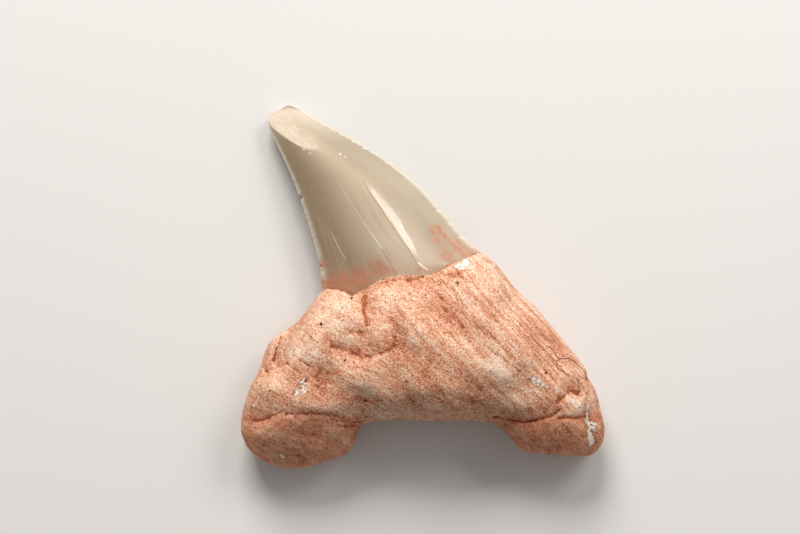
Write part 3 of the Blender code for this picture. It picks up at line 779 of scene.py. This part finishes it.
def addNode(tree, kind, inputs=None, **settings):
    node = tree.nodes.new(kind)
    for name, value in settings.items():
        setattr(node, name, value)
    for name, value in (inputs or {}).items():
        feed(tree, node.inputs[name], value)
    return node


def maths(tree, operation, *values, clamp=False):
    node = addNode(tree, "ShaderNodeMath", operation=operation, use_clamp=clamp)
    for socket, value in zip(node.inputs, values):
        feed(tree, socket, value)
    return node.outputs[0]


def times(tree, *values, **settings):
    return maths(tree, "MULTIPLY", *values, **settings)


def plus(tree, *values, **settings):
    return maths(tree, "ADD", *values, **settings)


def minus(tree, *values):
    return maths(tree, "SUBTRACT", *values)


def larger(tree, *values):
    return maths(tree, "MAXIMUM", *values)


def vectorMaths(tree, operation, *values):
    node = addNode(tree, "ShaderNodeVectorMath", operation=operation)
    for socket, value in zip(node.inputs, values):
        feed(tree, socket, value)
    return node.outputs["Value" if operation in ("LENGTH", "DOT_PRODUCT", "DISTANCE") else "Vector"]


def eased(tree, value, low, high, start=0.0, end=1.0):
    return addNode(tree, "ShaderNodeMapRange", {
        "Value": value, "From Min": low, "From Max": high, "To Min": start, "To Max": end,
    }, interpolation_type="SMOOTHSTEP").outputs["Result"]


def blended(tree, share, first, second, mode="MIX"):
    node = addNode(tree, "ShaderNodeMix", data_type="RGBA", blend_type=mode)
    feed(tree, node.inputs[0], share)
    feed(tree, node.inputs[6], first)
    feed(tree, node.inputs[7], second)
    return node.outputs[2]


def noiseOf(tree, place, scale, detail=2.0, roughness=0.5, twist=0.0):
    return addNode(tree, "ShaderNodeTexNoise", {
        "Vector": place, "Scale": scale, "Detail": detail, "Roughness": roughness, "Distortion": twist,
    }).outputs[0]


def paintOf(tree, name):
    return addNode(tree, "ShaderNodeAttribute", attribute_name=name).outputs["Fac"]


def evenVector(tree, value):
    return addNode(tree, "ShaderNodeCombineXYZ", {"X": value, "Y": value, "Z": value}).outputs[0]


def startGroup(name, takes, gives):
    group = bpy.data.node_groups.new(name, "ShaderNodeTree")
    for label, kind, value in takes:
        socket = group.interface.new_socket(label, in_out="INPUT", socket_type=kind)
        socket.default_value = value
    for label, kind in gives:
        group.interface.new_socket(label, in_out="OUTPUT", socket_type=kind)
    start = group.nodes.new("NodeGroupInput")
    end = group.nodes.new("NodeGroupOutput")
    return group, start.outputs, end.inputs


def placeGroup(tree, group, inputs):
    node = tree.nodes.new("ShaderNodeGroup")
    node.node_tree = group
    for name, value in inputs.items():
        feed(tree, node.inputs[name], value)
    return node.outputs


number, vector = "NodeSocketFloat", "NodeSocketVector"


def makeSandGrit():
    # uneven sand: its light and dark, small dark pits, and its height
    group, takes, gives = startGroup(
        "sandGrit",
        [("Place", vector, black), ("Grain Size", number, 0.4), ("Pit Spacing", number, 1.0)],
        [("Tone", number), ("Pits", number), ("Height", number)])
    scaled = vectorMaths(group, "DIVIDE", takes["Place"], evenVector(group, takes["Grain Size"]))
    lumps = eased(group, noiseOf(group, scaled, 0.8, 2.0, 0.7, 0.3), 0.3, 0.7)
    cells = addNode(group, "ShaderNodeTexVoronoi", {"Vector": scaled, "Scale": 1.0}, feature="F1")
    shade = addNode(group, "ShaderNodeSeparateColor", {"Color": cells.outputs["Color"]}).outputs[0]
    tone = plus(group, times(group, lumps, 0.35), times(group, shade, 0.65))
    group.links.new(tone, gives["Tone"])
    spaced = vectorMaths(group, "DIVIDE", takes["Place"], evenVector(group, takes["Pit Spacing"]))
    holes = addNode(group, "ShaderNodeTexVoronoi", {"Vector": spaced, "Scale": 1.0}, feature="F1")
    luck = addNode(group, "ShaderNodeSeparateColor", {"Color": holes.outputs["Color"]}).outputs[1]
    reach = times(group, maths(group, "POWER", luck, 2.5), 0.24)
    inside = minus(group, reach, holes.outputs["Distance"])
    pits = eased(group, inside, 0.0, 0.05)
    group.links.new(pits, gives["Pits"])
    height = minus(group, tone, times(group, pits, 0.8))
    group.links.new(height, gives["Height"])
    return group


def makeThinLine():
    # a thin line in plan between two places, seen from straight above
    group, takes, gives = startGroup(
        "thinLine",
        [("Place", vector, black), ("Start", vector, black), ("End", vector, black),
         ("Half Width", number, 0.1)],
        [("Mask", number)])
    spot = vectorMaths(group, "MULTIPLY", takes["Place"], flat)
    run = vectorMaths(group, "SUBTRACT", takes["End"], takes["Start"])
    gap = vectorMaths(group, "SUBTRACT", spot, takes["Start"])
    share = maths(group, "DIVIDE", vectorMaths(group, "DOT_PRODUCT", gap, run),
                  vectorMaths(group, "DOT_PRODUCT", run, run), clamp=True)
    nearest = vectorMaths(group, "MULTIPLY", run, evenVector(group, share))
    away = vectorMaths(group, "LENGTH", vectorMaths(group, "SUBTRACT", gap, nearest))
    group.links.new(eased(group, maths(group, "DIVIDE", away, takes["Half Width"]), 1.0, 0.4), gives["Mask"])
    return group


def makeSpot():
    # a round mark in plan
    group, takes, gives = startGroup(
        "spotMark",
        [("Place", vector, black), ("Centre", vector, black), ("Reach", number, 0.3),
         ("Softness", number, 0.4)],
        [("Mask", number)])
    spot = vectorMaths(group, "MULTIPLY", takes["Place"], flat)
    away = vectorMaths(group, "DISTANCE", spot, takes["Centre"])
    share = maths(group, "DIVIDE", away, takes["Reach"])
    inner = minus(group, 1.0, takes["Softness"])
    group.links.new(eased(group, share, 1.0, inner), gives["Mask"])
    return group


sandGrit, thinLine, spotMark = makeSandGrit(), makeThinLine(), makeSpot()


def startMaterial(name):
    made = bpy.data.materials.new(name)
    made.use_nodes = True
    tree = made.node_tree
    place = vectorMaths(tree, "SCALE", addNode(tree, "ShaderNodeTexCoord").outputs["Object"])
    place.node.inputs["Scale"].default_value = 1 / mm
    return made, tree, tree.nodes["Principled BSDF"], place


def turnedPlace(tree, place, angle, squeeze):
    # y runs along the fibres, squeezed so that they draw out
    turned = addNode(tree, "ShaderNodeMapping", {"Vector": place, "Rotation": (0, 0, math.radians(angle))})
    return vectorMaths(tree, "MULTIPLY", turned.outputs[0], squeeze)


def nudgeOf(tree, place, scale, detail, reach):
    # a soft shift that frays the borders of placed marks
    wobble = addNode(tree, "ShaderNodeTexNoise", {"Vector": place, "Scale": scale, "Detail": detail})
    offset = vectorMaths(tree, "SUBTRACT", wobble.outputs["Color"], (0.5, 0.5, 0.5))
    nudge = vectorMaths(tree, "SCALE", offset)
    nudge.node.inputs["Scale"].default_value = reach
    return nudge


def linesMask(tree, place, lines):
    # all the lines in one mask; a line is its half width and its points
    mask = None
    for halfWidth, route in lines:
        route = curveThrough(route, 2 * len(route) - 1).tolist()
        for start, end in zip(route, route[1:]):
            line = placeGroup(tree, thinLine, {
                "Place": place, "Start": (*start, 0), "End": (*end, 0), "Half Width": halfWidth})["Mask"]
            mask = line if mask is None else larger(tree, mask, line)
    return mask


def spotsMask(tree, place, spots, softness):
    # all the round marks in one mask; a mark is x, y and its reach
    mask = None
    for x, y, reach in spots:
        spot = placeGroup(tree, spotMark, {
            "Place": place, "Centre": (x, y, 0), "Reach": reach, "Softness": softness})["Mask"]
        mask = spot if mask is None else larger(tree, mask, spot)
    return mask


boneFinish = {
    "tones": [(0.0, (0.34, 0.098, 0.045)), (0.28, (0.60, 0.23, 0.118)), (0.5, (0.76, 0.365, 0.226)),
              (0.72, (0.89, 0.56, 0.392)), (1.0, (0.98, 0.80, 0.635))],
    "pale": (0.76, 0.61, 0.48),
    "chalk": (0.97, 0.90, 0.78),
    "pit": (0.17, 0.038, 0.018),
    "dot": (0.025, 0.010, 0.008),
    # painted shade: the darker, redder colour deep in fine hollows and creases
    "creaseShade": (0.50, 0.30, 0.22),
    # darker, more orange feet: partly their own tint, partly painted shade on faces turned down
    "footTint": (0.90, 0.70, 0.60),
    "grainSize": 0.15,
    "pitSpacing": 0.62,
    "roughness": 0.85,
    "chalkRoughness": 0.6,
    "shine": 0.3,
    "bump": 0.13,
    # how much each adds to the light and dark of the sand
    "shift": 0.20,
    "grit": 0.90,
    "fibres": 0.26,
    "clouds": 0.14,
    "blotches": 0.08,
    "limbStreaks": (-0.14, 0.15),
    # painted shade in fine and broad hollows, and painted light on broad swells
    "fineHollow": 0.22,
    "broadHollow": 0.17,
    "broadSwellLight": 0.16,
    # dark patches are partly painted shade, cream patches partly painted light
    "darkPatch": 0.26,
    "creamPatch": 0.24,
    "palePatch": 0.16,
    # scale of the fibres across, along and through the limb
    "leftFibres": (2.1, 0.5, 0.8),
    "rightFibres": (1.3, 0.10, 0.8),
    "rightStreaks": (2.4, 0.06, 0.6),
    "markHeight": (4.0, 5.0),  # the marks fade out under this height
    "markStrength": 0.95,
    # in the height of the surface, beside the grit
    "fibreHeight": 1.1,
    "markDepth": 1.0,
    # half width and points
    "hair": [
        (0.08, [(18.3, -8.8), (19.3, -9.5), (19.8, -10.4), (20.5, -10.8), (21.8, -10.8), (23.3, -11.9),
                (24.5, -13.1)]),
        (0.065, [(20.5, -10.8), (19.8, -11.1), (19.9, -12.1), (21.3, -13.0), (22.8, -13.8), (23.1, -15.3)]),
    ],
    # x, y, reach
    "blackSpots": [
        (-15.1, -5.6, 0.24), (-11.6, -10.9, 0.23), (-2.6, -13.9, 0.24), (-8.6, -16.9, 0.26),
        (18.1, -12.8, 0.23), (-22.8, -15.4, 0.19), (-6.0, 1.1, 0.19), (-10.7, -1.7, 0.19), (5.0, 0.5, 0.23),
        (5.15, 0.2, 0.17), (15.9, -8.9, 0.13), (-8.1, 1.5, 0.14), (-14.9, -9.7, 0.14),
    ],
}


def makeBoneFinish():
    look = boneFinish
    made, tree, shader, place = startMaterial("sandyBone")
    grit = placeGroup(tree, sandGrit, {
        "Place": place, "Grain Size": look["grainSize"], "Pit Spacing": look["pitSpacing"]})
    # fibres along the right limb, and short dashes across the left one
    leftTurn, rightTurn = (-90 - bone[name][1] for name in ("leftRibs", "rightRibs"))
    x = addNode(tree, "ShaderNodeSeparateXYZ", {"Vector": place}).outputs["X"]
    z = addNode(tree, "ShaderNodeSeparateXYZ", {"Vector": place}).outputs["Z"]
    side = eased(tree, x, -7, 1)
    fibres = blended(
        tree, side, noiseOf(tree, turnedPlace(tree, place, leftTurn, look["leftFibres"]), 1.0, 3.0, 0.6),
        noiseOf(tree, turnedPlace(tree, place, rightTurn, look["rightFibres"]), 1.0, 3.0, 0.6))
    # long pale and dark streaks beside the right contour
    acrossRight = addNode(tree, "ShaderNodeSeparateXYZ", {
        "Vector": turnedPlace(tree, place, rightTurn, flat)}).outputs["X"]
    zone = times(tree, side, eased(tree, acrossRight, -1.5, 3.5))
    streaks = noiseOf(tree, turnedPlace(tree, place, rightTurn, look["rightStreaks"]), 1.0, 2.0, 0.65)
    streaks = times(tree, zone, eased(tree, streaks, 0.34, 0.66, *look["limbStreaks"]))
    clouds = noiseOf(tree, place, 0.30, 3.0, 0.55)
    blotches = noiseOf(tree, place, 0.85, 3.0, 0.6, 0.5)
    parts = [
        (grit["Tone"], look["grit"]),
        (eased(tree, fibres, 0.32, 0.68), look["fibres"]),
        (eased(tree, clouds, 0.3, 0.7), look["clouds"]),
        (eased(tree, blotches, 0.3, 0.7), look["blotches"]),
    ]
    tone = minus(tree, streaks, look["shift"])
    for value, weight in parts:
        tone = plus(tree, tone, times(tree, value, weight))
    # painted shade: darker in fine and broad hollows; painted light: lighter on broad swells
    tone = minus(tree, tone, eased(tree, paintOf(tree, "fineHollow"), 0.55, 1.0, 0.0, look["fineHollow"]))
    tone = minus(tree, tone, eased(tree, paintOf(tree, "broadHollow"), 0.5, 1.0, 0.0, look["broadHollow"]))
    tone = plus(tree, tone, eased(tree, paintOf(tree, "broadHollow"), 0.5, 0.0, 0.0, look["broadSwellLight"]))
    # dark patches: partly darker sand, partly painted shade; cream patches: partly lighter sand, partly
    # painted light
    tone = minus(tree, tone, times(tree, paintOf(tree, "dark"), look["darkPatch"]))
    tone = plus(tree, tone, times(tree, paintOf(tree, "cream"), look["creamPatch"]))
    tone = plus(tree, tone, times(tree, paintOf(tree, "pale"), look["palePatch"]), clamp=True)
    ramp = addNode(tree, "ShaderNodeValToRGB", {"Fac": tone})
    stops = ramp.color_ramp.elements
    while len(stops) < len(look["tones"]):
        stops.new(0.5)
    for stop, (spot, colour) in zip(stops, look["tones"]):
        stop.position = spot
        stop.color = (*colour, 1)
    colour = ramp.outputs["Color"]
    paleShare = times(tree, paintOf(tree, "pale"), eased(tree, blotches, 0.35, 0.65, 0.2, 1.0))
    colour = blended(tree, eased(tree, paleShare, 0.12, 0.75, 0.0, 0.7), colour, look["pale"])
    # feet darker and more orange: partly their own tint, partly painted shade
    colour = blended(tree, paintOf(tree, "foot"), colour, look["footTint"], mode="MULTIPLY")
    # painted shade: darker, redder colour deep in fine hollows and creases
    creaseShade = eased(tree, paintOf(tree, "fineHollow"), 0.65, 1.0, 0.0, 0.6)
    colour = blended(tree, creaseShade, colour, look["creaseShade"], mode="MULTIPLY")
    # placed marks, with frayed borders
    nudge = nudgeOf(tree, place, 2.6, 3.0, 0.6)
    frayed = vectorMaths(tree, "ADD", place, nudge)
    up = eased(tree, z, *look["markHeight"])
    fray = minus(tree, noiseOf(tree, place, 2.8, 3.0, 0.7), 0.5)
    chalk = plus(tree, paintOf(tree, "chalk"), times(tree, fray, 0.9))
    chalk = plus(tree, chalk, times(tree, minus(tree, grit["Tone"], 0.5), 0.18))
    chalk = eased(tree, chalk, 0.0, 0.07, 0.0, 0.92)
    colour = blended(tree, chalk, colour, look["chalk"])
    hairNudge = vectorMaths(tree, "ADD", place, vectorMaths(tree, "MULTIPLY", nudge, (0.3, 0.3, 0)))
    hair = times(tree, up, linesMask(tree, hairNudge, look["hair"]))
    dots = times(tree, up, spotsMask(tree, frayed, look["blackSpots"], 0.45))
    strength = look["markStrength"]
    pits = larger(tree, times(tree, grit["Pits"], strength), times(tree, hair, strength))
    colour = blended(tree, pits, colour, look["pit"])
    colour = blended(tree, dots, colour, look["dot"])
    feed(tree, shader.inputs["Base Color"], colour)
    rough = eased(tree, chalk, 0, 1, look["roughness"], look["chalkRoughness"])
    feed(tree, shader.inputs["Roughness"], rough)
    height = plus(tree, grit["Height"], times(tree, fibres, look["fibreHeight"]))
    height = minus(tree, height, times(tree, larger(tree, pits, dots), look["markDepth"]))
    height = plus(tree, height, chalk)
    bump = addNode(tree, "ShaderNodeBump", {"Height": height, "Strength": 0.9, "Distance": look["bump"] * mm})
    feed(tree, shader.inputs["Normal"], bump.outputs[0])
    shader.inputs["Specular IOR Level"].default_value = look["shine"]
    return made


enamelFinish = {
    # darker left side: partly the enamel's own brown, partly painted shade on the side that faces away from
    # the light
    "leftToneAndShade": (0.38, 0.277, 0.170),
    "middleTone": (0.53, 0.425, 0.31),
    "rightTone": (0.455, 0.38, 0.28),
    "streakTone": (0.50, 0.37, 0.26),
    "facetTone": (0.74, 0.62, 0.49),
    # painted light: pale glow of the thin cutting edges
    "edgeGlowTone": (0.80, 0.73, 0.60),
    "baseTone": (0.40, 0.25, 0.165),
    "stainTone": (0.50, 0.205, 0.115),
    "crackTone": (0.36, 0.19, 0.11),
    "lightLine": (0.92, 0.84, 0.72),
    "glowTone": (0.68, 0.56, 0.43),  # of the middle, low on the crown
    "cloudTint": (0.90, 0.86, 0.82),
    "hairlineTint": (0.90, 0.87, 0.84),
    "upperRightTint": (0.79, 0.79, 0.78),
    "facetShade": 0.84,
    # how much of each tone is laid over the enamel
    "facetShare": 0.85,
    "tipShare": 0.68,
    "edgeGlowShare": 0.7,
    "baseShare": 0.7,
    "stainStrength": 1.35,
    "grainSize": 0.32,
    "pitSpacing": 1.6,
    "markHeight": (4.0, 4.8),  # the marks fade out under this height
    "roughness": 0.15,
    "unevenRoughness": 0.08,
    "wornRoughness": 0.5,
    "stainRoughness": 0.6,
    "dullRoughness": 0.5,
    "refraction": 1.6,
    "bump": 0.02,
    # half width and points
    "lightLines": [(0.06, [(-13.9, 8.3), (-12.7, 5.9), (-11.6, 3.9)]),
                   (0.075, [(-8.9, 9.5), (-8.0, 8.3), (-7.1, 7.0), (-6.35, 5.8)]),
                   (0.16, [(-0.7, 3.5), (0.1, 2.8), (0.6, 2.5)])],
    "faintLines": [(0.08, [(-12.4, 15.0), (-10.6, 12.2), (-8.9, 9.5)])],
    "stainLines": [(0.10, [(-6.1, 5.4), (-5.0, 3.6), (-4.2, 2.0)]),
                   (0.08, [(-6.7, 4.7), (-5.9, 3.2), (-5.3, 2.0)]), (0.08, [(-5.6, 5.6), (-4.9, 4.4)])],
    "darkLines": [(0.07, crown["fold"])],
    "redSpots": [
        (-9.7, 18.5, 0.22), (-8.8, 17.5, 0.2), (-3.9, 15.1, 0.2), (-3.4, 12.5, 0.14), (-7.3, 9.8, 0.14),
        (-6.2, 9.1, 0.12), (-4.6, 5.4, 0.14),
    ],
    "lightSpots": [(-17.9, 20.6, 0.3), (-17.0, 19.9, 0.2), (-12.4, 19.8, 0.26), (-11.7, 19.4, 0.2)],
}


def makeEnamelFinish():
    look = enamelFinish
    made, tree, shader, place = startMaterial("enamel")
    across, along = paintOf(tree, "across"), paintOf(tree, "along")
    z = addNode(tree, "ShaderNodeSeparateXYZ", {"Vector": place}).outputs["Z"]
    up = eased(tree, z, *look["markHeight"])
    lengthwise = addNode(tree, "ShaderNodeCombineXYZ", {
        "X": times(tree, across, 11.0), "Y": times(tree, along, 2.0), "Z": up}).outputs[0]
    streaks = noiseOf(tree, lengthwise, 1.0, 4.0, 0.62)
    clouds = noiseOf(tree, place, 0.22, 3.0, 0.5)
    # darker towards the left edge: partly the enamel's own tone, partly painted shade
    colour = blended(tree, eased(tree, across, -0.85, -0.1), look["leftToneAndShade"], look["middleTone"])
    colour = blended(tree, eased(tree, across, 0.0, 0.6), colour, look["rightTone"])
    colour = blended(tree, eased(tree, streaks, 0.45, 0.72, 0.0, 0.6), colour, look["streakTone"])
    cloudy = eased(tree, clouds, 0.35, 0.7, 0.0, 0.35)
    colour = blended(tree, cloudy, colour, look["cloudTint"], mode="MULTIPLY")
    upperRight = times(tree, eased(tree, along, 0.45, 0.68), eased(tree, across, -0.1, 0.4))
    colour = blended(tree, upperRight, colour, look["upperRightTint"], mode="MULTIPLY")
    hairlines = noiseOf(tree, lengthwise, 3.2, 3.0, 0.6)
    fine = eased(tree, hairlines, 0.4, 0.7, 0.0, 0.35)
    colour = blended(tree, fine, colour, look["hairlineTint"], mode="MULTIPLY")
    low = eased(tree, along, 0.26, 0.09)
    colour = blended(tree, times(tree, low, look["baseShare"]), colour, look["baseTone"])
    cracks = times(tree, low, eased(tree, hairlines, 0.42, 0.62, 0.0, 0.6))
    colour = blended(tree, cracks, colour, look["crackTone"])
    middle = times(tree, eased(tree, along, 0.42, 0.26), eased(
        tree, maths(tree, "ABSOLUTE", minus(tree, across, 0.05)), 0.5, 0.1, 0.0, 0.4))
    colour = blended(tree, middle, colour, look["glowTone"])
    colour = blended(tree, eased(tree, along, 0.64, 0.92, 0.0, look["tipShare"]), colour, look["facetTone"])
    # painted light on the thin cutting edges, a pale glow standing in for light through the enamel, and the
    # spalled tip
    edge = eased(tree, maths(tree, "ABSOLUTE", across), 0.91, 0.99)
    colour = blended(tree, times(tree, edge, look["edgeGlowShare"]), colour, look["edgeGlowTone"])
    worn = paintOf(tree, "worn")
    grit = placeGroup(tree, sandGrit, {
        "Place": place, "Grain Size": look["grainSize"], "Pit Spacing": look["pitSpacing"]})
    facetShadow = tuple(look["facetShade"] * part for part in look["facetTone"])
    facet = blended(tree, grit["Tone"], facetShadow, look["facetTone"])
    colour = blended(tree, times(tree, worn, look["facetShare"]), colour, facet)
    frayed = vectorMaths(tree, "ADD", place, nudgeOf(tree, place, 1.4, 2.0, 0.3))
    # iron stain near the root, in soft patches with fine dots, and in thin lines
    paint = paintOf(tree, "stain")
    veins = noiseOf(tree, lengthwise, 2.4, 3.0, 0.65)
    dusting = eased(tree, paint, 0.15, 0.8)
    dusting = times(tree, dusting, eased(tree, grit["Tone"], 0.85, 0.15, 0.25, 1.0))
    dusting = times(tree, dusting, eased(tree, veins, 0.35, 0.62, 0.35, 1.0))
    lines = times(tree, up, linesMask(tree, frayed, look["stainLines"]))
    lines = times(tree, lines, eased(tree, grit["Tone"], 0.1, 0.7, 0.3, 0.9))
    stain = larger(tree, times(tree, dusting, look["stainStrength"], clamp=True), lines)
    spots = times(tree, up, spotsMask(tree, frayed, look["redSpots"], 0.7))
    stain = larger(tree, stain, times(tree, spots, 0.7))
    colour = blended(tree, stain, colour, look["stainTone"])
    light = linesMask(tree, frayed, look["lightLines"])
    light = larger(tree, light, times(tree, linesMask(tree, frayed, look["faintLines"]), 0.35))
    light = larger(tree, light, times(tree, spotsMask(tree, frayed, look["lightSpots"], 0.6), 0.8))
    light = times(tree, times(tree, up, light), eased(tree, veins, 0.3, 0.6, 0.35, 0.85))
    colour = blended(tree, light, colour, look["lightLine"])
    darkLines = times(tree, up, linesMask(tree, place, look["darkLines"]))
    colour = blended(tree, times(tree, darkLines, 0.6), colour, look["crackTone"])
    feed(tree, shader.inputs["Base Color"], colour)
    rough = larger(tree, times(tree, worn, look["wornRoughness"]), times(tree, stain, look["stainRoughness"]))
    polished = look["roughness"]
    rough = larger(tree, rough, eased(tree, clouds, 0.3, 0.7, polished, polished + look["unevenRoughness"]))
    rough = larger(tree, rough, times(tree, paintOf(tree, "dull"), look["dullRoughness"]))
    feed(tree, shader.inputs["Roughness"], rough)
    height = plus(tree, streaks, times(tree, stain, 0.8))
    height = plus(tree, height, times(tree, times(tree, worn, grit["Tone"]), 1.5))
    bump = addNode(tree, "ShaderNodeBump", {"Height": height, "Strength": 0.6, "Distance": look["bump"] * mm})
    feed(tree, shader.inputs["Normal"], bump.outputs[0])
    shader.inputs["IOR"].default_value = look["refraction"]
    return made


def makeFloorFinish():
    made, tree, shader, place = startMaterial("studioFloor")
    cloud = noiseOf(tree, place, 0.004, 2.0)
    cloudTone = tuple(studio["floorCloudTone"] * part for part in studio["floorColour"])
    feed(tree, shader.inputs["Base Color"], blended(tree, cloud, studio["floorColour"], cloudTone))
    shader.inputs["Roughness"].default_value = 0.7
    return made


finishes = {crownPiece: makeEnamelFinish(), rootPiece: makeBoneFinish(), floor: makeFloorFinish()}
for piece, finish in finishes.items():
    piece.data.materials.clear()
    piece.data.materials.append(finish)

for piece in (crownPiece, rootPiece):
    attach(piece, "root")
    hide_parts("tooth")
